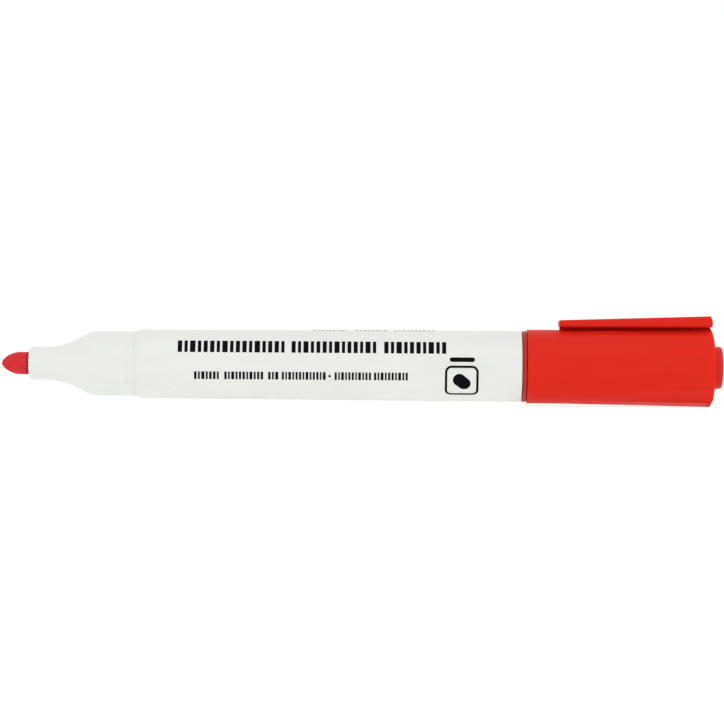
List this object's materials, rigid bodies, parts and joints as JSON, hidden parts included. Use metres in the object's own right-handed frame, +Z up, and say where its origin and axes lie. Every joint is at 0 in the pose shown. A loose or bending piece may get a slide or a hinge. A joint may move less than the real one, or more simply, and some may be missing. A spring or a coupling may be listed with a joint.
{
  "type": "whiteboard marker",
  "caption": "Whiteboard marker with a bullet nib, a white barrel and a clipped cap posted on its rear; the cap pulls off.",
  "frame": {"origin": "half way along the marker, under its axis, at the height of its lowest line: the surface it lies on", "axes": "+X along the marker from the nib to the cap's closed end, +Z up through the clip"},
  "size_m": [0.144, 0.0156, 0.0181],
  "materials": {
    "white_plastic": "white moulded polypropylene, satin",
    "nib_fibre": "bonded fibre soaked with red ink",
    "ink_fibre": "bundled fibre full of red ink",
    "clear_film": "clear thin film",
    "collar_plastic": "deep red moulded polypropylene, satin",
    "cap_plastic": "red moulded polypropylene, satin",
    "liner_plastic": "crimson moulded polypropylene, satin"
  },
  "bodies": {
    "marker": {"barrel": "white_plastic", "nose_section": "white_plastic", "nib": "nib_fibre", "ink_reservoir": "ink_fibre", "reservoir_film": "clear_film", "rear_plug": "collar_plastic"},
    "cap": {"cap_shell": "cap_plastic", "cap_liner": "liner_plastic"},
    "clip": {"cap_clip": "cap_plastic"}
  },
  "joints": [
    {"name": "cap_pull", "type": "slide", "parent": "marker", "child": "cap", "axis": [1, 0, 0], "range_m": [0, 0.045]},
    {"name": "clip_flex", "type": "hinge", "parent": "cap", "child": "clip", "pos_m": [0.0654, 0, 0.01699], "axis": [0, 1, 0], "range_deg": [0, 5], "stiffness_Nm_per_rad": 0.5}
  ]
}
